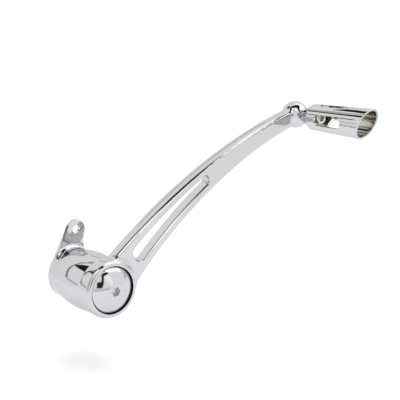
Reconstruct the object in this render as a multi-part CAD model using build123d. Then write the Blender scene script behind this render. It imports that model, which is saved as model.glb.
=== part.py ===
from build123d import *
import os
from math import asin, atan2, degrees, hypot, sqrt

# Rear brake pedal, all sizes in millimetres.
# Frame: the pivot axis is Y, outboard is -Y, the toe peg lies forward (+X) and up (+Z).
# The origin is on the pivot axis, on the face that seats against the motorcycle's frame.

# Pivot bolt: domed head with a six-lobed key, shoulder that the pedal turns on, threaded end
shoulder_radius = 10.0
stud_radius = 6.0
stud_length = 12.0
stud_chamfer = 1.0
head_radius = 17.0
head_edge = 3.6
head_rise = 5.5
head_edge_round = 0.5
key_depth = 4.0
key_core_radius = 2.8
key_lobe_radius = 0.85
key_lobes = 6

# Running parts in the hub
running_clearance = 0.05
end_float = 0.1
bush_wall = 2.0
bush_length = 17.0
bush_chamfer = 0.5
washer_thickness = 1.5
washer_radius = 16.0
washer_clearance = 0.15
seal_section = 3.0
seal_clearance = 0.15
seal_seat_clearance = 0.05
seal_side_clearance = 0.3
head_ring_section = 1.8
head_ring_bite = 1.1
head_ring_clearance = 0.05

# Hub of the casting: front ring, crowned barrel, rear collar
hub_length = 57.6
ring_radius = 21.5
ring_length = 12.1
ring_nose = 3.0
ring_mouth_round = 0.4
ring_blend = 8.0
head_inset = 1.2
head_gap = 1.0
barrel_root_radius = 20.6
barrel_crown_radius = 22.4
collar_radius = 20.2
collar_length = 8.6
collar_round = 0.5

# Arm: an arched plate from the hub ring to the knuckle that carries the toe peg
peg_reach = 189.3
peg_rise = 111.0
arm_setback = 2.2
arm_edge_round = 2.6
arm_back_round = 0.6
arm_root_station = 25.0
arm_root_offset = 4.2
arm_root_width = 29.2
arm_mid_offset = 13.7
arm_mid_width = 19.3
arm_end_station = 22.0
arm_end_offset = 5.1
arm_end_width = 14.3
arm_top_fillet = 5.0
arm_flare = 32.0
knuckle_radius = 11.0
knuckle_inset = 0.5
knuckle_blend = 9.0

# Lightening slot through the arm, between two rails that thicken towards the hub
slot_lead = 4.0
slot_overrun = 4.0
slot_upper_rail_root = 7.9
slot_upper_rail_tip = 5.8
slot_lower_rail_root = 7.2
slot_lower_rail_tip = 6.5
slot_root_round = 5.4
slot_tip_round = 3.0
slot_edge_round = 1.8

# Ear for the master cylinder's clevis
ear_hole_x = 4.0
ear_hole_z = 33.7
ear_hole_radius = 3.25
ear_top_radius = 7.5
ear_tuck = 0.3
ear_neck = 1.4
ear_neck_fillet = 8.0
ear_thickness = 3.5
ear_root_fillet = 7.0
ear_base_fillet = 4.0

# Toe peg: a slotted, hollow, slash-cut tube on a coned base
peg_collar_radius = 4.6
peg_collar_length = 2.5
peg_cone_length = 9.8
peg_cone_radius = 5.6
peg_base_radius = 10.6
peg_length = 64.8
peg_mouth_radius = 12.4
peg_wall = 2.0
peg_floor = 10.3
peg_slash = 24.0
peg_slash_turn = 10.0
peg_rim_round = 0.6
peg_shoulder_round = 2.0
peg_slot_width = 9.0
peg_slot_length = 28.5
peg_slot_start = 8.0
peg_slot_turn = 3.5
peg_heel_turn = 90.0
peg_low_turn = 130.0

# Screw that clamps the toe peg to the knuckle
screw_radius = 3.0
screw_thread_clearance = 0.05
screw_hole_clearance = 0.3
screw_engagement = 11.0
screw_tip_gap = 1.5
screw_head_radius = 5.0
screw_head_height = 6.0
screw_head_chamfer = 0.5
screw_key_width = 5.0
screw_key_depth = 3.0
lock_washer_radius = 5.3
lock_washer_thickness = 1.4
lock_washer_gap = 1.2

# Stations along the pivot axis
hub_rear = -(washer_thickness + end_float)
hub_front = hub_rear - hub_length
head_rim = hub_front + head_inset
head_seat = head_rim + head_edge
recess_floor = head_seat + washer_thickness + end_float
recess_radius = head_radius + head_gap
ring_back = hub_front + ring_length
arm_front = hub_front + arm_setback
ear_front = hub_rear - ear_thickness
barrel_rear = hub_rear - collar_length
bush_inner_radius = shoulder_radius + running_clearance
bush_outer_radius = bush_inner_radius + bush_wall
seal_centre_radius = shoulder_radius + seal_clearance + seal_section / 2
seal_seat_radius = seal_centre_radius + seal_section / 2 + seal_seat_clearance
seal_seat_depth = seal_section + 2 * seal_side_clearance

# Stations along the toe peg's axis
knuckle_y = (arm_front + ring_back) / 2 + knuckle_inset
knuckle_flat = knuckle_y - sqrt(knuckle_radius**2 - peg_collar_radius**2)
peg_back = knuckle_flat - peg_collar_length
peg_cone_end = peg_back - peg_cone_length
peg_floor_y = peg_back - peg_floor
peg_mouth_y = peg_back - peg_length
screw_head_y = peg_floor_y - lock_washer_thickness
screw_tip_y = knuckle_flat + screw_engagement

# Chord of the arm, from the pivot to the toe peg, tilted in the side view
chord = hypot(peg_reach, peg_rise)
chord_tilt = Rotation(0, 0, degrees(atan2(peg_rise, peg_reach)))
arm_end = chord - arm_end_station
arm_mid = (arm_root_station + arm_end) / 2
knuckle_place = Pos(peg_reach, knuckle_y, peg_rise)


def side_plane(y):
    """Plane seen from outboard, its first direction forward and its second one up."""
    return Plane((0, y, 0), x_dir=(1, 0, 0), z_dir=(0, -1, 0))


def rod(radius, y_from, y_to, x=0.0, z=0.0):
    """Round rod parallel to the pivot axis between two stations."""
    middle = Pos(x, (y_from + y_to) / 2, z)
    return middle * Rotation(90, 0, 0) * Cylinder(radius, abs(y_to - y_from))


def washer(inner_radius, outer_radius, y_from, y_to):
    """Flat ring about the pivot axis between two stations."""
    return rod(outer_radius, y_from, y_to) - rod(inner_radius, y_from, y_to)


def o_ring(centre_radius, section, y):
    """Round-section seal about the pivot axis."""
    return Pos(0, y, 0) * Rotation(90, 0, 0) * Torus(centre_radius, section / 2)


def round_arc(start, corner_centre, end, radius):
    """Quarter-like arc between two points about a centre, on the side of their middle."""
    middle = (Vector(*start) + Vector(*end)) / 2 - Vector(*corner_centre)
    return ThreePointArc(start, Vector(*corner_centre) + middle.normalized() * radius, end)


def arm_edge(side, rail_root=0.0, rail_tip=0.0):
    """Disc bounded by the arm's upper (+1) or lower (-1) edge, set in from it by a rail."""
    arc = ThreePointArc(
        (arm_root_station, arm_root_offset + side * (arm_root_width / 2 - rail_root)),
        (arm_mid, arm_mid_offset + side * (arm_mid_width / 2 - rail_tip)),
        (arm_end, arm_end_offset + side * (arm_end_width / 2 - rail_tip)),
    )
    return Pos(arc.arc_center) * Circle(arc.radius)


def band(upper, lower, start, end):
    """What lies between two arched edges from one station of the chord to another."""
    span = Pos((start + end) / 2, 0) * Rectangle(end - start, 4 * ring_radius)
    return (upper - lower) & span


def arm_outline():
    """Hub ring and arched arm in one outline, blended at their two corners."""
    outline = Sketch() + band(arm_edge(1), arm_edge(-1), 0, chord) + Circle(ring_radius)
    corners = outline.vertices().sort_by(Axis.X)[:2].sort_by(Axis.Y)
    outline = fillet(corners[0], arm_flare)
    upper = outline.vertices().sort_by_distance(corners[1])[0]
    return fillet(upper, arm_top_fillet)


def slot_outline():
    """Slot that follows the arm's edges, with rounded ends."""
    upper = arm_edge(1, slot_upper_rail_root, slot_upper_rail_tip)
    lower = arm_edge(-1, slot_lower_rail_root, slot_lower_rail_tip)
    outline = band(upper, lower, arm_root_station + slot_lead, arm_mid + slot_overrun)
    outline = fillet(outline.vertices().sort_by(Axis.X)[:2], slot_root_round)
    return fillet(outline.vertices().sort_by(Axis.X)[-2:], slot_tip_round)


def front_cut():
    """What is turned away outboard of the arm's face, leaving the nosed ring with a hollow blend."""
    reach = ring_nose + ring_blend
    drop = reach - arm_setback
    spread = sqrt(reach**2 - drop**2)
    nose_centre = (ring_radius - ring_nose, hub_front + ring_nose)
    nose_start = (nose_centre[0], hub_front)
    nose_end = (nose_centre[0] + spread * ring_nose / reach, nose_centre[1] - drop * ring_nose / reach)
    blend_end = (nose_centre[0] + spread, arm_front)
    blend_centre = (blend_end[0], arm_front - ring_blend)
    far = 2 * chord
    outline = round_arc(nose_start, nose_centre, nose_end, ring_nose)
    outline += round_arc(nose_end, blend_centre, blend_end, ring_blend)
    outline += Polyline(blend_end, (far, arm_front), (far, hub_front - ring_nose))
    outline += Polyline((far, hub_front - ring_nose), (nose_start[0], hub_front - ring_nose), nose_start)
    return revolve(make_face(outline), Axis.Y)


def wall_rims(plate):
    """Edges round a plate's side walls, on its outboard and inboard faces."""
    walls = plate.faces().filter_by(lambda face: abs(face.normal_at().Y) < 1e-6)
    return walls.edges().filter_by(Axis.Y, reverse=True)


def arm_plate():
    """Ring and arm as one plate with a turned front, a slot and eased edges."""
    outline = chord_tilt * arm_outline() - chord_tilt * slot_outline()
    plate = extrude(side_plane(ring_back) * outline, ring_length) - front_cut()
    arm_face = plate.faces().filter_by(lambda face: abs(face.center().Y - arm_front) < 1e-6)[0]
    plate = fillet(arm_face.inner_wires()[0].edges(), slot_edge_round)
    near_face = arm_front + slot_edge_round / 2
    plate = fillet(wall_rims(plate).filter_by(lambda edge: edge.center().Y < near_face), arm_edge_round)
    middle = (arm_front + ring_back) / 2
    return fillet(wall_rims(plate).filter_by(lambda edge: edge.center().Y > middle), arm_back_round)


def hub_barrel():
    """Crowned barrel and rounded rear collar behind the ring."""
    rear_radius = collar_radius - collar_round
    rear_start = (collar_radius, hub_rear - collar_round)
    rear_end = (rear_radius, hub_rear)
    outline = Polyline((0, hub_rear), (0, ring_back), (barrel_root_radius, ring_back))
    outline += ThreePointArc(
        (barrel_root_radius, ring_back),
        (barrel_crown_radius, (ring_back + barrel_rear) / 2),
        (collar_radius, barrel_rear),
    )
    outline += Line((collar_radius, barrel_rear), rear_start)
    outline += round_arc(rear_start, (rear_radius, rear_start[1]), rear_end, collar_round)
    outline += Line(rear_end, (0, hub_rear))
    return revolve(make_face(outline), Axis.Y)


def ear_outline():
    """Lever ear: straight and tangent behind, necked in front with a hollow root."""
    root_radius = collar_radius - collar_round - ear_tuck
    root = Circle(root_radius)
    top = Pos(ear_hole_x, ear_hole_z) * Circle(ear_top_radius)
    rear_half = Pos(ear_hole_x - ring_radius, 0) * Rectangle(2 * ring_radius, 4 * ear_hole_z)
    neck = ear_top_radius - ear_neck
    upright = Pos(ear_hole_x + neck / 2, ear_hole_z / 2) * Rectangle(neck, ear_hole_z)
    outline = Sketch() + (make_hull(root.edges() + top.edges()) & rear_half) + upright + top + root
    foot = outline.vertices().sort_by_distance((ear_hole_x + neck, root_radius))[0]
    outline = fillet(foot, ear_root_fillet)
    shoulder = outline.vertices().sort_by_distance((ear_hole_x + neck, ear_hole_z))[0]
    return fillet(shoulder, ear_neck_fillet)


def ear_plate():
    """Ear as a flat plate, with a hollow blend from its outboard face down to the collar."""
    outline = ear_outline()
    blend_centre = (collar_radius + ear_base_fillet, ear_front - ear_base_fillet)
    face_end = (blend_centre[0], ear_front)
    foot_end = (collar_radius, blend_centre[1])
    inner = collar_radius - collar_round
    section = round_arc(face_end, blend_centre, foot_end, ear_base_fillet)
    section += Polyline(foot_end, (inner, blend_centre[1]), (inner, ear_front), face_end)
    skirt = revolve(make_face(section), Axis.Y)
    skirt &= extrude(side_plane(ear_front) * outline, ear_base_fillet)
    return extrude(side_plane(hub_rear) * outline, ear_thickness) + skirt


def pedal_arm():
    """One casting: hub ring, arm, knuckle, barrel, collar and ear, then its bores."""
    plate = arm_plate()
    knuckle = knuckle_place * Sphere(knuckle_radius)
    casting = plate + knuckle
    casting = fillet(new_edges(plate, knuckle, combined=casting), knuckle_blend)
    casting += hub_barrel() + ear_plate()
    casting -= rod(bush_outer_radius, hub_front, hub_rear)
    casting -= rod(recess_radius, hub_front, recess_floor)
    mouth = casting.edges().filter_by(GeomType.CIRCLE).sort_by_distance((0, hub_front, 0))[0]
    casting = fillet(mouth, ring_mouth_round)
    casting -= rod(seal_seat_radius, recess_floor, recess_floor + seal_seat_depth)
    casting -= rod(seal_seat_radius, hub_rear - seal_seat_depth, hub_rear)
    casting -= rod(ear_hole_radius, ear_front, hub_rear, ear_hole_x, ear_hole_z)
    casting -= rod(knuckle_radius, knuckle_y - 2 * knuckle_radius, knuckle_flat, peg_reach, peg_rise)
    tapped_radius = screw_radius + screw_thread_clearance
    casting -= rod(tapped_radius, knuckle_flat, screw_tip_y + screw_tip_gap, peg_reach, peg_rise)
    return casting


def pivot_bolt():
    """Turned bolt: domed head, shoulder, threaded end, seal groove and key recess."""
    apex = head_rim - head_rise
    dome_radius = (head_radius**2 + head_rise**2) / (2 * head_rise)
    dome_angle = degrees(asin(head_radius / dome_radius))
    outline = JernArc((0, apex), (1, 0), dome_radius, dome_angle)
    outline += Polyline(
        (head_radius, head_rim),
        (head_radius, head_seat),
        (shoulder_radius, head_seat),
        (shoulder_radius, 0),
        (stud_radius, 0),
        (stud_radius, stud_length - stud_chamfer),
        (stud_radius - stud_chamfer, stud_length),
        (0, stud_length),
        (0, apex),
    )
    section = make_face(outline)
    rim = section.vertices().sort_by_distance((head_radius, head_rim))[0]
    bolt = revolve(fillet(rim, head_edge_round), Axis.Y)
    groove_middle = (head_rim + head_seat) / 2
    groove_half = head_ring_section / 2 + head_ring_clearance
    groove_radius = head_radius - head_ring_bite
    bolt -= washer(groove_radius, head_radius, groove_middle - groove_half, groove_middle + groove_half)
    key = Circle(key_core_radius) + PolarLocations(key_core_radius, key_lobes) * Circle(key_lobe_radius)
    return bolt - extrude(side_plane(apex + key_depth) * key, key_depth)


def bush(y_from):
    """Plain bearing bush with a lead-in at both ends of its bore."""
    sleeve = washer(bush_inner_radius, bush_outer_radius, y_from, y_from + bush_length)
    mouths = sleeve.edges().filter_by(GeomType.CIRCLE).sort_by(SortBy.RADIUS)[:2]
    return chamfer(mouths, bush_chamfer)


def toe_peg():
    """Coned base and tapered tube with three windows, slash-cut at the mouth."""
    taper = (peg_mouth_radius - peg_base_radius) / (peg_length - peg_cone_length)
    far = 2 * peg_mouth_radius
    far_y = peg_mouth_y - far
    far_radius = peg_mouth_radius + taper * far
    floor_radius = peg_base_radius + taper * (peg_cone_end - peg_floor_y)
    base = Polyline((0, peg_back), (peg_cone_radius, peg_back), (peg_base_radius, peg_cone_end))
    tube = Polyline((peg_base_radius, peg_cone_end), (far_radius, far_y), (far_radius - peg_wall, far_y))
    bore = Polyline((far_radius - peg_wall, far_y), (floor_radius - peg_wall, peg_floor_y), (0, peg_floor_y))
    outline = make_face(base + tube + bore + Line((0, peg_floor_y), (0, peg_back)))
    shoulder = outline.vertices().sort_by_distance((peg_base_radius, peg_cone_end))[0]
    peg = revolve(fillet(shoulder, peg_shoulder_round), Axis.Y)
    facing = Vector(0, -1, 0).rotate(Axis.X, peg_slash).rotate(Axis.Y, -peg_slash_turn)
    peg = split(peg, bisect_by=Plane((0, peg_mouth_y, 0), z_dir=facing), keep=Keep.BOTTOM)
    mouth = peg.faces().filter_by(GeomType.PLANE).sort_by(Axis.Y)[0]
    peg = fillet(mouth.edges(), peg_rim_round)
    window = Rotation(0, 0, 90) * SlotOverall(peg_slot_length, peg_slot_width)
    window_y = peg_floor_y - peg_slot_start - peg_slot_length / 2
    cutter = extrude(Plane.XY * Pos(0, window_y) * window, far)
    for turn in (0, -peg_heel_turn, peg_low_turn):
        peg -= Rotation(0, turn - peg_slot_turn, 0) * cutter
    peg -= rod(screw_radius + screw_hole_clearance, peg_floor_y, peg_back)
    return Pos(peg_reach, 0, peg_rise) * peg


def peg_collar():
    """Spacer between the knuckle's flat and the toe peg."""
    ring = washer(screw_radius + screw_hole_clearance, peg_collar_radius, peg_back, knuckle_flat)
    return Pos(peg_reach, 0, peg_rise) * ring


def peg_lock_washer():
    """Split spring washer under the screw's head."""
    ring = washer(screw_radius + screw_hole_clearance, lock_washer_radius, screw_head_y, peg_floor_y)
    gap = Pos(lock_washer_radius / 2, (screw_head_y + peg_floor_y) / 2, 0)
    ring -= gap * Rotation(45, 0, 0) * Box(lock_washer_radius, 4 * lock_washer_thickness, lock_washer_gap)
    return Pos(peg_reach, 0, peg_rise) * ring


def peg_screw():
    """Socket-head screw along the toe peg's axis."""
    head_end = screw_head_y - screw_head_height
    head = rod(screw_head_radius, head_end, screw_head_y)
    head = chamfer(head.edges().sort_by(Axis.Y)[0], screw_head_chamfer)
    key = RegularPolygon(screw_key_width / 2, 6, major_radius=False)
    head -= extrude(side_plane(head_end + screw_key_depth) * key, screw_key_depth)
    return Pos(peg_reach, 0, peg_rise) * (head + rod(screw_radius, screw_head_y, screw_tip_y))


outboard_seal_y = recess_floor + seal_seat_depth / 2
inboard_seal_y = hub_rear - seal_seat_depth / 2
head_ring_radius = head_radius - head_ring_bite + head_ring_section / 2
washer_bore = shoulder_radius + washer_clearance

pieces = {
    "pedal_arm": pedal_arm(),
    "outboard_bush": bush(recess_floor + seal_seat_depth),
    "inboard_bush": bush(hub_rear - seal_seat_depth - bush_length),
    "outboard_seal": o_ring(seal_centre_radius, seal_section, outboard_seal_y),
    "inboard_seal": o_ring(seal_centre_radius, seal_section, inboard_seal_y),
    "toe_peg": toe_peg(),
    "peg_collar": peg_collar(),
    "peg_lock_washer": peg_lock_washer(),
    "peg_screw": peg_screw(),
    "pivot_bolt": pivot_bolt(),
    "head_seal": o_ring(head_ring_radius, head_ring_section, (head_rim + head_seat) / 2),
    "outboard_thrust_washer": washer(washer_bore, washer_radius, head_seat, head_seat + washer_thickness),
    "inboard_thrust_washer": washer(washer_bore, washer_radius, -washer_thickness, 0),
}

os.makedirs("parts", exist_ok=True)
for name, piece in pieces.items():
    export_step(piece, f"parts/{name}.step")
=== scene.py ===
import math
import bmesh
import bpy
import numpy as np
from mathutils import Matrix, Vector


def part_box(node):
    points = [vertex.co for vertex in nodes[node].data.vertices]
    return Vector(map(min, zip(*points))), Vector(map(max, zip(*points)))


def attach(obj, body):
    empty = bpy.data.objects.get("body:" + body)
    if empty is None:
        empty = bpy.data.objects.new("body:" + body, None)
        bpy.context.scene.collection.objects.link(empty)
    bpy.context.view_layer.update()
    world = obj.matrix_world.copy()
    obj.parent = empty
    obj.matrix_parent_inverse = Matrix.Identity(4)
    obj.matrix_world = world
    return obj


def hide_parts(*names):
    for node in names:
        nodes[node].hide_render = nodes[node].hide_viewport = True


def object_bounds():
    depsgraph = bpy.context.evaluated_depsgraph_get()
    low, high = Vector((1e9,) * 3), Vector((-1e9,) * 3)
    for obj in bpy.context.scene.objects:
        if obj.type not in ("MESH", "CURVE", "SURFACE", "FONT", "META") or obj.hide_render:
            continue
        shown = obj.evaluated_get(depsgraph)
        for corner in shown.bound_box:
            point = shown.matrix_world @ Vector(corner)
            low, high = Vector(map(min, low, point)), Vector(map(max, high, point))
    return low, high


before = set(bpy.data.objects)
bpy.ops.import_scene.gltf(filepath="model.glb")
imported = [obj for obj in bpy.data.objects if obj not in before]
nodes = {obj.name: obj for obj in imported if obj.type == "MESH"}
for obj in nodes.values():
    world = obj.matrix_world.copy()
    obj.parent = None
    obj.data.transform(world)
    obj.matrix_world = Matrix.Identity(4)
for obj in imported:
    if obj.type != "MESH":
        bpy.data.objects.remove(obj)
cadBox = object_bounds()
print("frame loaded:", len(nodes), "solids")

# camera: placed where the photographer stood, focal length from the hub's and the peg's size
cameraSetup = {
    "place": (-0.3435, -0.57608, 0.20748),
    "azimuth": -39.4,
    "elevation": 12.83,
    "lens": 81.0,
    "sensor": 36.0,
    "clip": (0.01, 200.0),
}


def placeCamera(setup):
    azimuth = math.radians(setup["azimuth"])
    elevation = math.radians(setup["elevation"])
    right = np.array([math.cos(azimuth), math.sin(azimuth), 0.0])
    level = np.array([math.sin(azimuth), -math.cos(azimuth), 0.0]) * math.cos(elevation)
    back = level + np.array([0.0, 0.0, math.sin(elevation)])
    up = np.cross(back, right)
    lensData = bpy.data.cameras.new("pedalCamera")
    lensData.lens = setup["lens"]
    lensData.sensor_width = setup["sensor"]
    lensData.clip_start, lensData.clip_end = setup["clip"]
    holder = bpy.data.objects.new("pedalCamera", lensData)
    columns = np.stack([right, up, back, np.array(setup["place"])], axis=1)
    holder.matrix_world = Matrix(np.vstack([columns, [0.0, 0.0, 0.0, 1.0]]).tolist())
    bpy.context.collection.objects.link(holder)
    bpy.context.scene.camera = holder


placeCamera(cameraSetup)
bpy.context.scene.view_settings.view_transform = "Standard"
print("camera placed")


# wiring helpers: each adds one node to a tree and hands back its output
def feed(tree, socket, value):
    if isinstance(value, bpy.types.NodeSocket):
        tree.links.new(value, socket)
    else:
        socket.default_value = value


def calc(tree, operation, first, second=0.0):
    node = tree.nodes.new("ShaderNodeMath")
    node.operation = operation
    feed(tree, node.inputs[0], first)
    feed(tree, node.inputs[1], second)
    return node.outputs[0]


def ramp(tree, value, low, high, outLow=0.0, outHigh=1.0):
    node = tree.nodes.new("ShaderNodeMapRange")
    node.interpolation_type = "SMOOTHSTEP"
    feed(tree, node.inputs["Value"], value)
    node.inputs["From Min"].default_value = low
    node.inputs["From Max"].default_value = high
    node.inputs["To Min"].default_value = outLow
    node.inputs["To Max"].default_value = outHigh
    return node.outputs["Result"]


def dot(tree, vector, weights):
    node = tree.nodes.new("ShaderNodeVectorMath")
    node.operation = "DOT_PRODUCT"
    feed(tree, node.inputs[0], vector)
    node.inputs[1].default_value = weights
    return node.outputs["Value"]


def mixColour(tree, amount, first, second):
    node = tree.nodes.new("ShaderNodeMix")
    node.data_type = "RGBA"
    feed(tree, node.inputs["Factor"], amount)
    feed(tree, node.inputs["A"], first)
    feed(tree, node.inputs["B"], second)
    return node.outputs["Result"]


def grey(level):
    return (level, level, level, 1.0)


# light tent round the pedal, in degrees: each patch is (side, soft edge, level, corners anticlockwise)
# front corners are (azimuth from outboard, elevation), back ones count azimuth from inboard,
# top ones are degrees from the zenith (forward, outboard)
tentSetup = {
    "ground": (1.17, 1.19, 1.23, 1.0),
    "wall": (1.17, 1.165, 1.15, 1.0),
    "crown": (1.25, 1.25, 1.26, 1.0),
    "seen": grey(1.06),
    "groundToWall": (-6.0, 4.0),
    "wallToCrown": (38.0, 60.0),
    "patches": [
        ("front", 7.0, 0.72, [(-108, -4), (-48, -4), (-48, 44), (-108, 50)]),
        ("front", 2.5, 2.3, [(-90, 50), (-43, 44), (-41, 19), (-14, 19), (-10, 33), (-17, 52), (-50, 66), (-90, 66)]),
        ("front", 2.0, 2.3, [(-8, 42), (44, 34), (46, 42), (38, 47), (-4, 47)]),
        ("front", 4.0, 1.42, [(0, 26), (17, 2), (26, 6), (18, 30), (4, 36)]),
        ("top", 2.0, 1.75, [(10, -12), (62, -12), (62, 34), (26, 50), (15, 40), (10, 24)]),
        ("top", 2.0, 0.02, [(-38, -22), (-22, -20), (-2, -5), (5.5, 6), (5.5, 20), (-15, 20), (-38, -8)]),
        ("top", 1.5, 0.02, [(-12, 16), (5.5, 14), (7, 26), (9.5, 34.5), (12.5, 42), (11, 47), (3, 47), (-7, 41)]),
        ("front", 2.2, 0.03, [(-26, -1), (-9, -1), (-7, 12), (-10, 17), (-24, 17)]),
        ("front", 1.8, 0.03, [(-14, 6), (-6, 6), (1, 33), (-7, 33)]),
        ("front", 1.6, 0.03, [(-9, 31), (2, 31), (19, 34), (20, 38), (10, 41), (-3, 39)]),
        ("front", 2.5, 0.86, [(-34, -10), (16, -10), (12, -2), (-34, -1)]),
        ("front", 4.0, 0.7, [(68, 2), (84, -1), (86, 8), (72, 17)]),
        ("back", 1.5, 0.02, [(23.5, 33), (28, 34.5), (37, 35.5), (50, 37), (52, 48), (38, 58), (20, 54), (21, 44)]),
        ("back", 1.3, 0.5, [(20, 35.5), (22, 38.5), (8, 53), (5, 50)]),
        ("back", 1.3, 0.45, [(-18, 53), (7, 50), (8, 53), (-2, 57), (-18, 57)]),
        ("back", 1.3, 0.3, [(34, 3), (38.5, 3), (34, 14), (30.5, 14)]),
        ("back", 1.3, 0.16, [(30.5, 13), (34, 13), (26.5, 29), (23.5, 29)]),
        ("back", 1.5, 0.35, [(23.5, 28), (26.5, 28), (22, 38), (19, 38)]),
        ("back", 1.8, 0.72, [(37, 0), (55, -3), (55, 2), (38, 5.5)]),
    ],
}


# a patch is the smallest of its sides' signed distances, softened: 1 inside, 0 outside
def patchMask(tree, place, corners, soft):
    mask = None
    for (fromAz, fromEl), (toAz, toEl) in zip(corners, corners[1:] + corners[:1]):
        run = math.hypot(toAz - fromAz, toEl - fromEl)
        normal = (-(toEl - fromEl) / run, (toAz - fromAz) / run)
        offset = -(normal[0] * fromAz + normal[1] * fromEl)
        inside = dot(tree, place, (normal[0], normal[1], offset))
        mask = inside if mask is None else calc(tree, "MINIMUM", mask, inside)
    return ramp(tree, mask, -soft, soft)


def hangTent(setup):
    world = bpy.data.worlds.new("lightTent")
    bpy.context.scene.world = world
    world.use_nodes = True
    tree = world.node_tree
    tree.nodes.clear()
    coords = tree.nodes.new("ShaderNodeTexCoord")
    split = tree.nodes.new("ShaderNodeSeparateXYZ")
    tree.links.new(coords.outputs["Generated"], split.inputs[0])
    x, y, z = split.outputs
    degrees = 180.0 / math.pi
    rise = calc(tree, "MULTIPLY", calc(tree, "ARCSINE", z), degrees)
    places = {}
    for side, sign in (("front", 1.0), ("back", -1.0)):
        across = calc(tree, "ARCTAN2", calc(tree, "MULTIPLY", x, sign), calc(tree, "MULTIPLY", y, -sign))
        place = tree.nodes.new("ShaderNodeCombineXYZ")
        feed(tree, place.inputs[0], calc(tree, "MULTIPLY", across, degrees))
        feed(tree, place.inputs[1], rise)
        place.inputs[2].default_value = 1.0
        places[side] = place.outputs[0]
    fromZenith = calc(tree, "SUBTRACT", 90.0, rise)
    level = calc(tree, "SQRT", calc(tree, "ADD", calc(tree, "MULTIPLY", x, x), calc(tree, "MULTIPLY", y, y)))
    spread = calc(tree, "DIVIDE", fromZenith, calc(tree, "MAXIMUM", level, 0.0001))
    place = tree.nodes.new("ShaderNodeCombineXYZ")
    feed(tree, place.inputs[0], calc(tree, "MULTIPLY", x, spread))
    feed(tree, place.inputs[1], calc(tree, "MULTIPLY", calc(tree, "MULTIPLY", y, -1.0), spread))
    place.inputs[2].default_value = 1.0
    places["top"] = place.outputs[0]
    colour = mixColour(tree, ramp(tree, rise, *setup["groundToWall"]), setup["ground"], setup["wall"])
    colour = mixColour(tree, ramp(tree, rise, *setup["wallToCrown"]), colour, setup["crown"])
    for side, soft, tone, corners in setup["patches"]:
        colour = mixColour(tree, patchMask(tree, places[side], corners, soft), colour, grey(tone))
    path = tree.nodes.new("ShaderNodeLightPath")
    colour = mixColour(tree, path.outputs["Is Camera Ray"], colour, setup["seen"])
    light = tree.nodes.new("ShaderNodeBackground")
    feed(tree, light.inputs["Color"], colour)
    out = tree.nodes.new("ShaderNodeOutputWorld")
    tree.links.new(light.outputs[0], out.inputs["Surface"])


hangTent(tentSetup)
print("tent hung:", len(tentSetup["patches"]), "patches")

# floor: a round pale sheet under the pedal, with a soft light above that polished metal doesn't mirror
floorSetup = {
    "centre": (0.09, -0.05),
    "radius": 0.42,
    "corners": 96,
    "drop": 0.04,
    "colour": (0.93, 0.94, 0.96, 1.0),
    "roughness": 0.85,
    "fillPower": 22.0,
    "fillSize": 2.0,
    "fillHeight": 2.5,
}


def layFloor(setup):
    turn = np.linspace(0.0, 2.0 * np.pi, setup["corners"], endpoint=False)
    ringX = setup["centre"][0] + setup["radius"] * np.cos(turn)
    ringY = setup["centre"][1] + setup["radius"] * np.sin(turn)
    level = np.full_like(turn, cadBox[0][2] - setup["drop"])
    mesh = bpy.data.meshes.new("paleFloor")
    ring = np.stack([ringX, ringY, level], axis=1)
    mesh.from_pydata(ring.tolist(), [], [list(range(len(turn)))])
    floor = bpy.data.objects.new("paleFloor", mesh)
    bpy.context.collection.objects.link(floor)
    sheet = bpy.data.materials.new("paleSheet")
    sheet.use_nodes = True
    shader = sheet.node_tree.nodes["Principled BSDF"]
    shader.inputs["Base Color"].default_value = setup["colour"]
    shader.inputs["Roughness"].default_value = setup["roughness"]
    shader.inputs["Specular IOR Level"].default_value = 0.0
    mesh.materials.append(sheet)
    fillData = bpy.data.lights.new("floorFill", "AREA")
    fillData.shape = "DISK"
    fillData.size = setup["fillSize"]
    fillData.energy = setup["fillPower"]
    fill = bpy.data.objects.new("floorFill", fillData)
    fill.location = (setup["centre"][0], setup["centre"][1], setup["fillHeight"])
    fill.visible_glossy = False
    fill.visible_camera = False
    bpy.context.collection.objects.link(fill)


layFloor(floorSetup)
print("floor laid")

# cards by the pedal that only polished metal mirrors: a black strip behind the hub darkens a streak along the peg,
# a grey one behind the arm draws a line along its crowned top, a black one above the ball darkens its crown,
# a white one before the arm brightens its rounded edge; glow 0 is plain black paper
cardSetup = {
    "blackCard": {
        "glow": 0.0,
        "corners": [
            (-0.188, 0.27, 0.294), (-0.188, 0.38, 0.294), (-0.172, 0.38, 0.338), (-0.172, 0.27, 0.338),
        ],
    },
    "greyCard": {
        "glow": 0.3,
        "corners": [
            (0.037, 0.05, 0.086), (0.1275, 0.05, 0.129), (0.2235, 0.05, 0.149),
            (0.2235, 0.05, 0.154), (0.1275, 0.05, 0.134), (0.037, 0.05, 0.091),
        ],
    },
    "archCard": {
        "glow": 0.0,
        "corners": [
            (0.1848, -0.0512, 0.168), (0.1955, -0.0571, 0.168), (0.2081, -0.0634, 0.168), (0.2071, -0.0769, 0.168),
            (0.202, -0.0869, 0.168), (0.1968, -0.0972, 0.168), (0.193, -0.1121, 0.168), (0.1897, -0.1274, 0.168),
            (0.1674, -0.1292, 0.168), (0.1736, -0.1068, 0.168), (0.1791, -0.0884, 0.168), (0.1833, -0.0766, 0.168),
            (0.1851, -0.0644, 0.168),
        ],
    },
    "whiteCard": {
        "glow": 1.65,
        "corners": [(0.036, -0.1, 0.042), (0.086, -0.1, 0.074), (0.082, -0.1, 0.084), (0.018, -0.1, 0.080)],
    },
}


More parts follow.
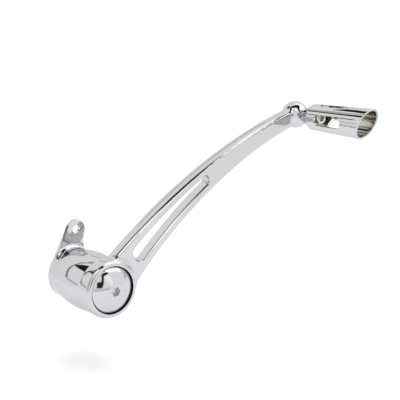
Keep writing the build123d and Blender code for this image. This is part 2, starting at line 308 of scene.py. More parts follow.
def holdCard(name, setup):
    mesh = bpy.data.meshes.new(name)
    mesh.from_pydata(setup["corners"], [], [tuple(range(len(setup["corners"])))])
    card = bpy.data.objects.new(name, mesh)
    bpy.context.collection.objects.link(card)
    paper = bpy.data.materials.new(name + "Paper")
    paper.use_nodes = True
    shader = paper.node_tree.nodes["Principled BSDF"]
    shader.inputs["Base Color"].default_value = grey(0.02 if setup["glow"] == 0.0 else 0.0)
    shader.inputs["Roughness"].default_value = 1.0
    shader.inputs["Specular IOR Level"].default_value = 0.0
    shader.inputs["Emission Color"].default_value = grey(1.0)
    shader.inputs["Emission Strength"].default_value = setup["glow"]
    paper.cycles.emission_sampling = "NONE"
    mesh.materials.append(paper)
    card.visible_camera = False
    card.visible_diffuse = False
    card.visible_shadow = False


for cardName, cardValues in cardSetup.items():
    holdCard(cardName, cardValues)
print("cards held:", len(cardSetup))


smoothAngle = math.radians(32.0)  # edges sharper than this stay crisp


# a turned surface: point (row, turn) is the row's height along Y and its radius swung round the axis;
# the first and last rows shrink to one point each, which closes both ends
def turnedPiece(name, radius, height, turns, axis):
    rows, columns = radius.shape
    angle = np.broadcast_to(turns, radius.shape)
    grid = np.stack([axis[0] + radius * np.cos(angle), height, axis[1] + radius * np.sin(angle)], axis=2)
    tips = [[[axis[0], height[row, 0], axis[1]]] for row in (0, -1)]
    points = np.concatenate([tips[0], grid.reshape(-1, 3), tips[1]])
    index = 1 + np.arange(rows * columns).reshape(rows, columns)
    following = np.roll(index, -1, axis=1)
    quads = np.stack([index[:-1], index[1:], following[1:], following[:-1]], axis=2).reshape(-1, 4)
    last = rows * columns + 1
    front = np.stack([np.zeros(columns, int), index[0], following[0]], axis=1)
    rear = np.stack([index[-1], np.full(columns, last), following[-1]], axis=1)
    mesh = bpy.data.meshes.new(name)
    mesh.from_pydata((points * 0.001).tolist(), [], quads.tolist() + front.tolist() + rear.tolist())
    mesh.shade_smooth()
    mesh.set_sharp_from_angle(angle=smoothAngle)
    piece = bpy.data.objects.new(name, mesh)
    bpy.context.collection.objects.link(piece)
    return piece


# thread: the radius falls from crest to root with the distance from a helix, one pitch per turn
def threadRadius(height, turns, start, crest, depth, pitch):
    phase = (height - start) / pitch - turns / (2.0 * np.pi)
    wave = np.abs((phase % 1.0) - 0.5) * 2.0
    return crest - depth * np.clip((wave - 0.12) / 0.72, 0.0, 1.0)


# pivot bolt in millimetres: domed head with a six-lobed key, ring groove, ground shoulder, rolled thread
boltSetup = {
    "apex": -63.5,
    "domeRadius": 29.023,
    "headRadius": 17.0,
    "headSeat": -54.4,
    "grooveFrom": -57.15,
    "grooveTo": -55.25,
    "grooveRadius": 15.9,
    "rimRound": 0.5,
    "seatChamfer": 0.3,
    "keyFloor": -59.5,
    "keyValley": 2.8,
    "keyLobe": 0.85,
    "keyEase": 0.25,
    "shoulderRadius": 10.0,
    "shoulderEase": 0.4,
    "studRadius": 6.0,
    "studRelief": 1.0,
    "studEnd": 12.0,
    "pitch": 1.75,
    "threadDepth": 0.95,
    "columns": 192,
}


def pivotBoltPiece(setup):
    turns = np.linspace(0.0, 2.0 * np.pi, setup["columns"], endpoint=False)[None, :]
    flat = np.ones_like(turns)
    dome = setup["domeRadius"]

    def domeY(r):
        return setup["apex"] + dome - np.sqrt(dome**2 - r**2)

    key = setup["keyValley"] + setup["keyLobe"] * ((1.0 + np.cos(6.0 * turns)) / 2.0) ** 1.2
    share = np.array([0.02, 0.25, 0.5, 0.75, 0.97])[:, None]
    floorR, floorY = share * key, setup["keyFloor"] + 0.5 * (1.0 - share) * flat
    lift = np.array([0.0, 0.3, 0.6, 0.9])[:, None]
    mouth = key + setup["keyEase"]
    wallY = setup["keyFloor"] + lift * (domeY(key) + setup["keyEase"] - setup["keyFloor"])
    easeTurn = np.radians(np.array([0.0, 30.0, 60.0, 90.0]))[:, None]
    easeR = mouth - setup["keyEase"] * np.cos(easeTurn)
    easeY = domeY(mouth) + setup["keyEase"] * (1.0 - np.sin(easeTurn)) * flat
    inner = setup["headRadius"] - setup["rimRound"]
    rimY = setup["apex"] + dome - math.sqrt((dome - setup["rimRound"])**2 - inner**2)
    lean = math.asin(inner / (dome - setup["rimRound"]))
    out = np.linspace(0.0, 1.0, 40)[1:-1, None]
    domeR = mouth + out * (dome * math.sin(lean) - mouth)
    rimTurn = np.linspace(lean, np.pi / 2.0, 7)[:, None]
    rimR = inner + setup["rimRound"] * np.sin(rimTurn) * flat
    rimH = rimY - setup["rimRound"] * np.cos(rimTurn) * flat
    head, groove, seat = setup["headRadius"], setup["grooveRadius"], setup["headSeat"]
    shoulder, stud, end = setup["shoulderRadius"], setup["studRadius"], setup["studEnd"]
    chamfer, ease, relief = setup["seatChamfer"], setup["shoulderEase"], setup["studRelief"]
    side = np.array([
        (head, setup["grooveFrom"]), (groove, setup["grooveFrom"]), (groove, setup["grooveTo"]),
        (head, setup["grooveTo"]), (head, seat - chamfer), (head - chamfer, seat), (shoulder + ease, seat),
        (shoulder, seat + ease), (shoulder, -30.0), (shoulder, -ease), (shoulder - ease, 0.0),
        (stud - 0.9, 0.0), (stud - relief, 0.15), (stud - relief, 1.1),
    ])
    threadY = np.linspace(1.3, end - 0.05, 150)[:, None] * flat
    threadR = threadRadius(threadY, turns, 0.0, stud, setup["threadDepth"], setup["pitch"])
    fade = np.clip((threadY - 1.2) / 0.8, 0.0, 1.0)
    threadR = (stud - relief) * (1.0 - fade) + threadR * fade
    threadR = np.minimum(threadR, stud - 0.1 - np.maximum(0.0, threadY - (end - 1.0)))
    endR = np.array([stud - 1.15, stud * 0.4, 0.1])[:, None] * flat
    keyR = lift * 0.0 + key
    endY = endR * 0.0 + end
    radius = np.concatenate([floorR, keyR, easeR, domeR, rimR, side[:, :1] * flat, threadR, endR])
    height = np.concatenate([floorY, wallY, easeY, domeY(domeR), rimH, side[:, 1:] * flat, threadY, endY])
    return turnedPiece("pivotBolt", radius, height, turns, (0.0, 0.0))


pivotBolt = pivotBoltPiece(boltSetup)
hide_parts("pivot_bolt")
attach(pivotBolt, "pivot")
print("pivot bolt turned:", len(pivotBolt.data.polygons), "faces")

# peg screw in millimetres: socket head with a knurled side, threaded shank
screwSetup = {
    "axis": (189.3, 111.0),
    "headRadius": 5.0,
    "headHeight": 6.0,
    "chamfer": 0.5,
    "keyWidth": 5.0,
    "keyDepth": 3.0,
    "knurls": 48,
    "knurlDepth": 0.16,
    "shankRadius": 3.0,
    "pitch": 1.0,
    "threadDepth": 0.5,
    "columns": 240,
}


def pegScrewPiece(setup):
    low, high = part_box("peg_screw")
    face, tip = low[1] * 1000.0, high[1] * 1000.0
    turns = np.linspace(0.0, 2.0 * np.pi, setup["columns"], endpoint=False)[None, :]
    flat = np.ones_like(turns)
    facet = (turns % (np.pi / 3.0)) - np.pi / 6.0
    key = setup["keyWidth"] / 2.0 / np.cos(facet)
    share = np.array([0.03, 0.35, 0.7, 0.98])[:, None]
    floorY = face + setup["keyDepth"] + 0.9 * (1.0 - share) * flat
    wall = np.array([0.0, 0.5, 1.0])[:, None]
    wallY = face + setup["keyDepth"] + wall * (0.35 - setup["keyDepth"]) * flat
    head, shank, chamfer = setup["headRadius"], setup["shankRadius"], setup["chamfer"]
    ringR = np.array([head - chamfer - 0.05, head - chamfer + 0.02])[:, None] * flat
    mouthR = np.maximum(key + 0.02, setup["keyWidth"] / 2.0 + 0.42)
    knurl = np.abs(((turns * setup["knurls"] / (2.0 * np.pi)) % 1.0) - 0.5) * 2.0
    tall = setup["headHeight"]
    sideY = face + np.array([chamfer, chamfer + 0.25, 3.0, tall - 0.5, tall - 0.3, tall])[:, None] * flat
    cut = np.array([0.0, 1.0, 1.0, 1.0, 0.0, 0.0])[:, None]
    sideR = head - cut * setup["knurlDepth"] * knurl
    seat = face + tall
    neckR = np.array([head - 0.2, shank + 0.3, shank, shank])[:, None] * flat
    neckY = np.array([seat, seat, seat + 0.3, seat + 4.0])[:, None] * flat
    threadY = np.linspace(seat + 4.2, tip - 0.05, 200)[:, None] * flat
    threadR = threadRadius(threadY, turns, seat, shank, setup["threadDepth"], setup["pitch"])
    threadR = np.minimum(threadR, shank - 0.05 - np.maximum(0.0, threadY - (tip - 0.6)))
    endR = np.array([shank * 0.7, 0.1])[:, None] * flat
    radius = np.concatenate([share * key, wall * 0.0 + key, mouthR, ringR, sideR, neckR, threadR, endR])
    faceY, endY = face * np.ones_like(ringR), endR * 0.0 + tip
    height = np.concatenate([floorY, wallY, face * flat, faceY, sideY, neckY, threadY, endY])
    return turnedPiece("pegScrew", radius, height, turns, setup["axis"])


pegScrew = pegScrewPiece(screwSetup)
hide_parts("peg_screw")
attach(pegScrew, "pedal")
print("peg screw turned:", len(pegScrew.data.polygons), "faces")


# distances in metres for the merge, in millimetres for how near a corner lies to a known surface
polishSetup = {"merge": 1e-6, "sliver": 1e-7, "near": 0.03, "facing": 0.72}


# a copy of a solid's skin with its borders merged; the polish needs truer normals than its triangles carry,
# so corners on a known surface get that surface's normal and the rest keep the solid's
def polishedSkin(node, name, knownNormals):
    mesh = nodes[node].data.copy()
    mesh.name = name
    own = np.empty(len(mesh.loops) * 3, np.float32)
    mesh.corner_normals.foreach_get("vector", own)
    mesh.attributes.new("ownNormal", "FLOAT_VECTOR", "CORNER").data.foreach_set("vector", own)
    skin = bmesh.new()
    skin.from_mesh(mesh)
    bmesh.ops.remove_doubles(skin, verts=skin.verts, dist=polishSetup["merge"])
    bmesh.ops.dissolve_degenerate(skin, edges=skin.edges, dist=polishSetup["sliver"])
    bmesh.ops.triangulate(skin, faces=skin.faces)
    skin.to_mesh(mesh)
    skin.free()
    mesh.shade_smooth()
    mesh.set_sharp_from_angle(angle=smoothAngle)
    place = np.empty(len(mesh.vertices) * 3)
    mesh.vertices.foreach_get("co", place)
    corner = np.empty(len(mesh.loops), int)
    mesh.loops.foreach_get("vertex_index", corner)
    facing = np.empty(len(mesh.polygons) * 3)
    mesh.polygons.foreach_get("normal", facing)
    points = place.reshape(-1, 3)[corner] * 1000.0
    facing = np.repeat(facing.reshape(-1, 3), 3, axis=0)
    own = np.empty(len(mesh.loops) * 3, np.float32)
    mesh.attributes["ownNormal"].data.foreach_get("vector", own)
    mesh.attributes.remove(mesh.attributes["ownNormal"])
    normals = np.zeros_like(points)
    for normal, error in knownNormals(points):
        normal = normal / np.maximum(np.linalg.norm(normal, axis=1, keepdims=True), 1e-9)
        known = (error < polishSetup["near"]) & ((normal * facing).sum(axis=1) > polishSetup["facing"])
        known &= np.abs(normals).sum(axis=1) == 0.0
        normals[known] = normal[known]
    settled = np.abs(normals).sum(axis=1) > 0.0
    normals = np.where(settled[:, None], normals, own.reshape(-1, 3))
    mesh.normals_split_custom_set(normals.tolist())
    piece = bpy.data.objects.new(name, mesh)
    bpy.context.collection.objects.link(piece)
    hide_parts(node)
    print(name, "polished:", int(settled.sum()), "of", len(points), "corners on known surfaces")
    return piece


def circleThrough(first, middle, last):
    rows = np.array([middle, last]) - np.array(first)
    centre = np.array(first) + np.linalg.solve(2.0 * rows, (rows**2).sum(axis=1))
    return centre, float(np.linalg.norm(centre - np.array(first)))


# where two circles cross, on the side that `side` names
def circlesMeet(centreA, radiusA, centreB, radiusB, side):
    gap = np.array(centreB) - np.array(centreA)
    span = float(np.linalg.norm(gap))
    run = (span**2 + radiusA**2 - radiusB**2) / (2.0 * span)
    rise = math.sqrt(max(radiusA**2 - run**2, 0.0))
    return np.array(centreA) + (gap * run + np.array([-gap[1], gap[0]]) * rise * side) / span


# casting in millimetres, in the side view with the chord from pivot to peg laid level
castingSetup = {
    "reach": 189.3,
    "rise": 111.0,
    "root": (25.0, 4.2, 29.2),
    "middle": (111.22, 13.7, 19.3),
    "end": (197.44, 5.1, 14.3),
    "upperRail": (7.9, 5.8),
    "lowerRail": (7.2, 6.5),
    "slotSpan": (29.0, 115.22),
    "slotRounds": (5.4, 3.0),
    "ringRadius": 21.5,
    "topFillet": 5.0,
    "flare": 32.0,
    "frontFace": -57.0,
    "backFace": -47.1,
    "edgeRound": 2.6,
    "slotRound": 1.8,
    "backRound": 0.6,
    "knuckle": (189.3, -51.55, 111.0),
    "knuckleRadius": 11.0,
    "hubProfile": [
        ((18.5, -56.2), 3.0, 1.0), ((26.908, -65.0), 8.0, -1.0), ((19.7, -2.1), 0.5, 1.0), ((18.4, -58.8), 0.4, 1.0),
    ],
    "recessRadius": 18.0,
    "crown": 15.0,
    "barrel": ((20.6, -47.1), (22.4, -28.65), (20.2, -10.2)),
    "collarRadius": 20.2,
}


# arm's walls as circles (centre, radius, +1 where the metal is inside, lean at the back of a crowned wall):
# arcs of the edges and of their fillets
def castingWalls(setup):
    def edge(side, rail):
        rows = zip((setup["root"], setup["middle"], setup["end"]), rail)
        return circleThrough(*[(at, middle + side * (width / 2.0 - inset)) for (at, middle, width), inset in rows])

    top, low = edge(1.0, (0.0, 0.0, 0.0)), edge(-1.0, (0.0, 0.0, 0.0))
    slotTop = edge(1.0, setup["upperRail"] + setup["upperRail"][1:])
    slotLow = edge(-1.0, setup["lowerRail"] + setup["lowerRail"][1:])
    ring, origin = setup["ringRadius"], (0.0, 0.0)

    def besideRing(wall, size, reach):
        return [circlesMeet(origin, ring + size, wall[0], wall[1] + reach, side) for side in (-1.0, 1.0)]

    fillet = max(besideRing(top, setup["topFillet"], setup["topFillet"]), key=lambda spot: spot[1])
    flare = max(besideRing(low, setup["flare"], -setup["flare"]), key=lambda spot: spot[0])
    crown = math.sin(math.radians(setup["crown"]))
    outer = [(top[0], top[1], 1.0, crown), (low[0], low[1], -1.0, crown), (np.array(origin), ring, 1.0, 0.0)]
    outer += [(fillet, setup["topFillet"], -1.0, 0.0), (flare, setup["flare"], -1.0, 0.0)]
    slot = [(slotTop[0], slotTop[1], -1.0, 0.0), (slotLow[0], slotLow[1], 1.0, 0.0)]
    far = 1e6
    for end, sign, size in zip(setup["slotSpan"], (1.0, -1.0), setup["slotRounds"]):
        station = end + sign * size
        upV = slotTop[0][1] + math.sqrt((slotTop[1] - size)**2 - (station - slotTop[0][0])**2)
        lowV = slotLow[0][1] + math.sqrt((slotLow[1] + size)**2 - (station - slotLow[0][0])**2)
        slot += [(np.array([station, upV]), size, -1.0, 0.0), (np.array([station, lowV]), size, -1.0, 0.0)]
        slot += [(np.array([end - sign * far, 0.0]), far, 1.0, 0.0)]
    return outer, slot


# normal of a wall and its rounded rim: it leans from the face's to the wall's as the rim's quarter circle turns,
# and a point belongs to the circle whose inset is the one that turn gives
def rimNormals(points, flat, walls, faceY, toward, size, tilt):
    lean = np.clip(toward * (points[:, 1] - faceY + toward * size) / size, 0.0, 1.0)
    out = np.sqrt(1.0 - lean**2)
    expected = size * (1.0 - out)
    best = np.full(len(points), 1e3)
    normal = np.zeros_like(points)
    for centre, radius, sense, crown in walls:
        away = flat - centre
        dist = np.linalg.norm(away, axis=1)
        error = np.abs(sense * (radius - dist) - expected)
        slant = np.maximum(lean, crown) if toward > 0.0 else lean
        away = sense * away / np.maximum(dist, 1e-9)[:, None] * np.sqrt(1.0 - slant**2)[:, None]
        forward = away[:, 0] * tilt[0] - away[:, 1] * tilt[1]
        upward = away[:, 0] * tilt[1] + away[:, 1] * tilt[0]
        turned = np.stack([forward, toward * slant, upward], axis=1)
        closer = error < best
        normal[closer] = turned[closer]
        best = np.minimum(best, error)
    return normal, best


def castingNormals(points):
    setup = castingSetup
    chord = math.hypot(setup["reach"], setup["rise"])
    tilt = (setup["reach"] / chord, setup["rise"] / chord)
    x, z = points[:, 0], points[:, 2]
    flat = np.stack([x * tilt[0] + z * tilt[1], z * tilt[0] - x * tilt[1]], axis=1)
    outer, slot = castingWalls(setup)
    front, back = setup["frontFace"], setup["backFace"]
    inPlate = (points[:, 1] > front - 0.01) & (points[:, 1] < back + 0.01)
    found = []
    for walls, size in ((outer, setup["edgeRound"]), (slot, setup["slotRound"])):
        for faceY, toward, rim in ((front, -1.0, size), (back, 1.0, setup["backRound"])):
            normal, error = rimNormals(points, flat, walls, faceY, toward, rim, tilt)
            nearFace = toward * (points[:, 1] - (front + back) / 2.0) >= 0.0
            found.append((normal, np.where(inPlate & nearFace, error, 1.0)))
    spread = np.hypot(x, z)
    radial = points[:, [0, 2]] / np.maximum(spread, 1e-9)[:, None]
    barrel = circleThrough(*setup["barrel"])
    for centre, radius, sense in setup["hubProfile"] + [(barrel[0], barrel[1], 1.0)]:
        run, rise = spread - centre[0], points[:, 1] - centre[1]
        error = np.abs(np.hypot(run, rise) - radius)
        normal = np.stack([radial[:, 0] * run, rise, radial[:, 1] * run], axis=1) * sense
        found.append((normal, error))
    level = np.stack([radial[:, 0], spread * 0.0, radial[:, 1]], axis=1)
    found.append((level, np.abs(spread - setup["collarRadius"])))
    found.append((-level, np.abs(spread - setup["recessRadius"])))
    away = points - np.array(setup["knuckle"])
    found.append((away, np.abs(np.linalg.norm(away, axis=1) - setup["knuckleRadius"])))
    return found


pedalCasting = polishedSkin("pedal_arm", "pedalCasting", castingNormals)
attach(pedalCasting, "pedal")

# toe peg in millimetres: a cone from the back, then a tube that widens by the taper, with a bore inside
pegShape = {
    "axis": (189.3, 111.0),
    "back": -64.042,
    "coneEnd": -73.842,
    "coneRadius": 5.6,
    "baseRadius": 10.6,
    "taper": 0.032727,
    "wall": 2.0,
}


def pegNormals(points):
    setup = pegShape
    away = points[:, [0, 2]] - np.array(setup["axis"])
    spread = np.linalg.norm(away, axis=1)
    away = away / np.maximum(spread, 1e-9)[:, None]
    slope = (setup["baseRadius"] - setup["coneRadius"]) / (setup["back"] - setup["coneEnd"])
    tube = setup["baseRadius"] + setup["taper"] * (setup["coneEnd"] - points[:, 1])
    cone = setup["coneRadius"] + slope * (setup["back"] - points[:, 1])
    rows = [(tube, setup["taper"], 1.0), (tube - setup["wall"], setup["taper"], -1.0), (cone, slope, 1.0)]
    found = []
    for size, lean, side in rows:
        normal = np.stack([away[:, 0], np.full_like(spread, lean), away[:, 1]], axis=1) * side
        found.append((normal, np.abs(spread - size)))
    return found


toePeg = polishedSkin("toe_peg", "toePeg", pegNormals)
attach(toePeg, "pedal")


# material helpers: coordinates are the piece's own, in metres
def blankMaterial(name):
    material = bpy.data.materials.new(name)
    material.use_nodes = True
    tree = material.node_tree
    coords = tree.nodes.new("ShaderNodeTexCoord").outputs["Object"]
    return material, tree, tree.nodes["Principled BSDF"], coords


def cloud(tree, coords, scale, detail=3.0, rough=0.5):
    node = tree.nodes.new("ShaderNodeTexNoise")
    feed(tree, node.inputs["Vector"], coords)
    node.inputs["Scale"].default_value = scale
    node.inputs["Detail"].default_value = detail
    node.inputs["Roughness"].default_value = rough
    return node.outputs["Fac"]


def stretched(tree, coords, scale):
    node = tree.nodes.new("ShaderNodeMapping")
    feed(tree, node.inputs["Vector"], coords)
    node.inputs["Scale"].default_value = scale
    return node.outputs["Vector"]


def raised(tree, height, depth, normal=None):
    node = tree.nodes.new("ShaderNodeBump")
    node.inputs["Strength"].default_value = 1.0
    node.inputs["Distance"].default_value = depth
    feed(tree, node.inputs["Height"], height)
    if normal is not None:
        feed(tree, node.inputs["Normal"], normal)
    return node.outputs["Normal"]


# distance from an axis along Y through (x, z)
def axisDistance(tree, coords, axis):
    shift = tree.nodes.new("ShaderNodeVectorMath")
    shift.operation = "MULTIPLY_ADD"
    feed(tree, shift.inputs[0], coords)
    shift.inputs[1].default_value = (1.0, 0.0, 1.0)
    shift.inputs[2].default_value = (-axis[0], 0.0, -axis[1])
    size = tree.nodes.new("ShaderNodeVectorMath")
    size.operation = "LENGTH"
    feed(tree, size.inputs[0], shift.outputs[0])
    return size.outputs["Value"]


def along(tree, coords):
    return dot(tree, coords, (0.0, 1.0, 0.0))


def shade(tint, factor):
    return tuple(c * factor for c in tint) + (1.0,)


def mottled(tree, amount, tint, low, high):
    return mixColour(tree, amount, shade(tint, low), shade(tint, high))


rimTint = (0.76, 0.765, 0.775, 1.0)  # how much of the light chrome keeps at a glancing angle


# polished chrome on the casting: a faintly wavy cast surface under the plate, soft smears in the polish
# and a warmer tint painted on the arm's face as a painted reflection, which lies between these stations along X and
# in front of this one along Y
castSetup = {
    "tint": (0.55, 0.557, 0.567),
    "armReflectionTint": (0.563, 0.557, 0.544),
    "armStart": (0.024, 0.06),
    "armEnd": (0.168, 0.178),
    "armFront": (-0.0567, -0.0558),
    "gloss": 0.03,
    "smear": 0.03,
    "wave": 0.000015,
    "peel": 0.0000012,
}


def castChrome(setup):
    material, tree, shader, coords = blankMaterial("castChrome")
    patches = cloud(tree, coords, 38.0)
    hub = mottled(tree, patches, setup["tint"], 0.96, 1.03)
    # painted reflection: the arm's face gets a warmer tint than the hub
    arm = mottled(tree, patches, setup["armReflectionTint"], 0.96, 1.03)
    forward = dot(tree, coords, (1.0, 0.0, 0.0))
    started = ramp(tree, forward, *setup["armStart"])
    span = calc(tree, "MULTIPLY", started, ramp(tree, forward, *setup["armEnd"], 1.0, 0.0))
    face = calc(tree, "MULTIPLY", span, ramp(tree, along(tree, coords), *setup["armFront"], 1.0, 0.0))
    feed(tree, shader.inputs["Base Color"], mixColour(tree, face, hub, arm))
    shader.inputs["Metallic"].default_value = 1.0
    shader.inputs["Specular Tint"].default_value = rimTint
    smears = cloud(tree, stretched(tree, coords, (1.0, 2.5, 1.0)), 160.0, 5.0, 0.6)
    polish = ramp(tree, smears, 0.3, 0.75, setup["gloss"], setup["gloss"] + setup["smear"])
    feed(tree, shader.inputs["Roughness"], polish)
    wavy = raised(tree, cloud(tree, coords, 62.0, 1.0), setup["wave"])
    feed(tree, shader.inputs["Normal"], raised(tree, cloud(tree, coords, 1400.0, 2.0), setup["peel"], wavy))
    return material


# polished chrome on the peg: bright outside, warm and turned with fine rings in the bore, with painted shade
# darkening the bore at its mouth and painted light brightening it deep inside
pegSetup = {
    "axis": (0.1893, 0.111),
    "tint": (0.55, 0.557, 0.565),
    "boreTint": (0.64, 0.59, 0.555),
    "mouthPaintedShade": (0.37, 0.36, 0.355),
    "deepPaintedLight": (0.93, 0.87, 0.82),
    "mouthShadeSpan": (-0.131, -0.108),
    "deepLightSpan": (-0.110, -0.100),
    "gloss": 0.035,
    "smear": 0.03,
    "boreGloss": 0.10,
    "coneEnd": 0.07384,
    "coneRadius": 0.0106,
    "taper": 0.0327,
    "boreDepth": (0.0008, 0.0016),
    "boreEnd": (-0.0742, -0.0740),
    "rings": 0.0000012,
    "wave": 0.00003,
}


def pegChrome(setup):
    material, tree, shader, coords = blankMaterial("pegChrome")
    height = along(tree, coords)
    spread = axisDistance(tree, coords, setup["axis"])
    outside = calc(tree, "MULTIPLY", calc(tree, "ADD", height, setup["coneEnd"]), -setup["taper"])
    depth = calc(tree, "SUBTRACT", calc(tree, "ADD", outside, setup["coneRadius"]), spread)
    inside = ramp(tree, depth, *setup["boreDepth"])
    bore = calc(tree, "MULTIPLY", inside, ramp(tree, height, *setup["boreEnd"], 1.0, 0.0))
    patches = cloud(tree, coords, 45.0)
    bright = mottled(tree, patches, setup["tint"], 0.97, 1.03)
    stain = cloud(tree, stretched(tree, coords, (1.0, 0.4, 1.0)), 240.0, 4.0)
    dull = mottled(tree, stain, setup["boreTint"], 0.94, 1.04)
    # painted shade: the bore is darkened towards its mouth
    dull = mixColour(tree, ramp(tree, height, *setup["mouthShadeSpan"]), shade(setup["mouthPaintedShade"], 1.0), dull)
    # painted light: the bore is brightened deep inside
    dull = mixColour(tree, ramp(tree, height, *setup["deepLightSpan"]), dull, shade(setup["deepPaintedLight"], 1.0))
    feed(tree, shader.inputs["Base Color"], mixColour(tree, bore, bright, dull))
    shader.inputs["Metallic"].default_value = 1.0
    shader.inputs["Specular Tint"].default_value = rimTint
    smears = cloud(tree, stretched(tree, coords, (1.0, 0.5, 1.0)), 180.0, 5.0, 0.6)
    polish = ramp(tree, smears, 0.3, 0.75, setup["gloss"], setup["gloss"] + setup["smear"])
    dullness = calc(tree, "MULTIPLY", bore, setup["boreGloss"])
    feed(tree, shader.inputs["Roughness"], calc(tree, "ADD", polish, dullness))
    rings = cloud(tree, stretched(tree, coords, (0.02, 1.0, 0.02)), 2600.0, 2.0, 0.7)
    ringed = raised(tree, calc(tree, "MULTIPLY", rings, bore), setup["rings"])
    feed(tree, shader.inputs["Normal"], raised(tree, cloud(tree, coords, 70.0, 1.0), setup["wave"], ringed))
    return material


# pivot bolt: chromed head, a duller grey in the key, ground shoulder, a thread darker in its roots
boltFinish = {
    "tint": (0.55, 0.557, 0.567),
    "steel": (0.52, 0.51, 0.49),
    "keyGrey": (0.60, 0.60, 0.61),
    "headEnd": -0.0541,
    "studStart": -0.0002,
    "keyRadius": (0.0036, 0.0039),
    "keyTop": (-0.0631, -0.0625),
    "keyEnd": (-0.03, -0.02),
    "rootToCrest": (0.0050, 0.0059),
    "wave": 0.00002,
    "score": 0.000003,
}


def boltChrome(setup):
    material, tree, shader, coords = blankMaterial("boltChrome")
    height = along(tree, coords)
    spread = axisDistance(tree, coords, (0.0, 0.0))
    shank = ramp(tree, height, setup["headEnd"] - 0.0001, setup["headEnd"] + 0.0001)
    stud = ramp(tree, height, setup["studStart"], setup["studStart"] + 0.0002)
    patches = cloud(tree, coords, 60.0)
    bright = mottled(tree, patches, setup["tint"], 0.97, 1.03)
    lines = cloud(tree, stretched(tree, coords, (0.02, 1.0, 0.02)), 3000.0, 2.0, 0.7)
    ground = mottled(tree, lines, setup["steel"], 0.85, 1.1)
    # the thread is darker in its roots and lighter on its crests
    rootToCrest = ramp(tree, spread, *setup["rootToCrest"])
    thread = mottled(tree, rootToCrest, setup["steel"], 0.35, 0.95)
    nearAxis = ramp(tree, spread, *setup["keyRadius"], 1.0, 0.0)
    inKey = calc(tree, "MULTIPLY", nearAxis, ramp(tree, height, *setup["keyTop"]))
    inKey = calc(tree, "MULTIPLY", inKey, ramp(tree, height, *setup["keyEnd"], 1.0, 0.0))
    colour = mixColour(tree, shank, bright, ground)
    colour = mixColour(tree, stud, colour, thread)
    # in the key the colour turns to a duller grey
    feed(tree, shader.inputs["Base Color"], mixColour(tree, inKey, colour, shade(setup["keyGrey"], 1.0)))
    shader.inputs["Metallic"].default_value = 1.0
    smears = cloud(tree, coords, 200.0, 5.0, 0.6)
    polish = ramp(tree, smears, 0.3, 0.75, 0.03, 0.06)
    dull = calc(tree, "MULTIPLY", calc(tree, "ADD", shank, inKey), ramp(tree, lines, 0.2, 0.8, 0.14, 0.26))
    feed(tree, shader.inputs["Roughness"], calc(tree, "ADD", polish, dull))
    scored = raised(tree, calc(tree, "MULTIPLY", lines, shank), setup["score"])
    feed(tree, shader.inputs["Normal"], raised(tree, cloud(tree, coords, 75.0, 1.0), setup["wave"], scored))
    return material


# zinc-plated steel: cool silver with a faint straw bloom and a fine grain
zincSetup = {"silver": (0.60, 0.61, 0.62), "straw": (0.60, 0.56, 0.46), "roughness": (0.2, 0.38), "grain": 0.000006}


def zincPlate(setup):
    material, tree, shader, coords = blankMaterial("zincPlate")
    bloom = ramp(tree, cloud(tree, coords, 320.0, 4.0), 0.45, 0.75, 0.0, 0.6)
    colour = mixColour(tree, bloom, shade(setup["silver"], 1.0), shade(setup["straw"], 1.0))
    feed(tree, shader.inputs["Base Color"], colour)
    shader.inputs["Metallic"].default_value = 1.0
    grain = cloud(tree, coords, 2600.0, 4.0, 0.6)
    feed(tree, shader.inputs["Roughness"], ramp(tree, grain, 0.3, 0.7, *setup["roughness"]))
    feed(tree, shader.inputs["Normal"], raised(tree, grain, setup["grain"]))
    return material


# sintered bronze: brown metal with open pores
bronzeSetup = {"metal": (0.52, 0.34, 0.16), "pore": (0.10, 0.06, 0.03), "poreScale": 2200.0, "depth": 0.00002}


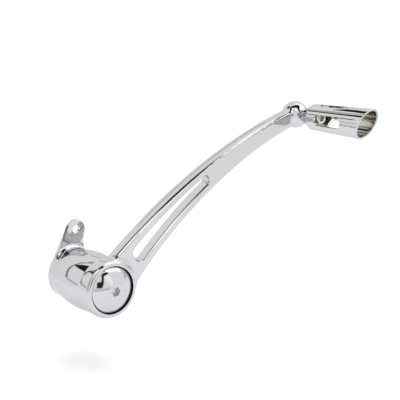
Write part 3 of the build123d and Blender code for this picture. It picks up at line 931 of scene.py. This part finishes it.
def sinteredBronze(setup):
    material, tree, shader, coords = blankMaterial("sinteredBronze")
    pores = tree.nodes.new("ShaderNodeTexVoronoi")
    feed(tree, pores.inputs["Vector"], coords)
    pores.inputs["Scale"].default_value = setup["poreScale"]
    openPore = ramp(tree, pores.outputs["Distance"], 0.12, 0.34)
    tone = cloud(tree, coords, 260.0, 3.0)
    metal = mottled(tree, tone, setup["metal"], 0.8, 1.15)
    feed(tree, shader.inputs["Base Color"], mixColour(tree, openPore, shade(setup["pore"], 1.0), metal))
    feed(tree, shader.inputs["Metallic"], ramp(tree, openPore, 0.0, 1.0, 0.3, 1.0))
    feed(tree, shader.inputs["Roughness"], ramp(tree, tone, 0.2, 0.8, 0.34, 0.52))
    feed(tree, shader.inputs["Normal"], raised(tree, openPore, setup["depth"]))
    return material


# black rubber: dull, slightly grey where it is dusty, with a fine moulded grain
rubberSetup = {"black": (0.012, 0.012, 0.013), "dust": (0.05, 0.05, 0.05), "roughness": (0.45, 0.7), "grain": 0.00001}


def sealRubber(setup):
    material, tree, shader, coords = blankMaterial("sealRubber")
    dust = ramp(tree, cloud(tree, coords, 420.0, 5.0), 0.5, 0.8, 0.0, 0.7)
    colour = mixColour(tree, dust, shade(setup["black"], 1.0), shade(setup["dust"], 1.0))
    feed(tree, shader.inputs["Base Color"], colour)
    grain = cloud(tree, coords, 5200.0, 3.0)
    feed(tree, shader.inputs["Roughness"], ramp(tree, grain, 0.3, 0.7, *setup["roughness"]))
    feed(tree, shader.inputs["Normal"], raised(tree, grain, setup["grain"]))
    return material


zinc = zincPlate(zincSetup)
bronze = sinteredBronze(bronzeSetup)
rubber = sealRubber(rubberSetup)
turnedChrome = pegChrome(pegSetup)
finishes = {
    "peg_collar": turnedChrome,
    "peg_lock_washer": zinc,
    "outboard_thrust_washer": zinc,
    "inboard_thrust_washer": zinc,
    "outboard_bush": bronze,
    "inboard_bush": bronze,
    "outboard_seal": rubber,
    "inboard_seal": rubber,
    "head_seal": rubber,
}
for name, finish in finishes.items():
    nodes[name].data.materials.clear()
    nodes[name].data.materials.append(finish)
for piece, finish in ((pedalCasting, castChrome(castSetup)), (toePeg, turnedChrome)):
    piece.data.materials.clear()
    piece.data.materials.append(finish)
pivotBolt.data.materials.append(boltChrome(boltFinish))
pegScrew.data.materials.append(zinc)
print("finishes given:", len(finishes) + 4)
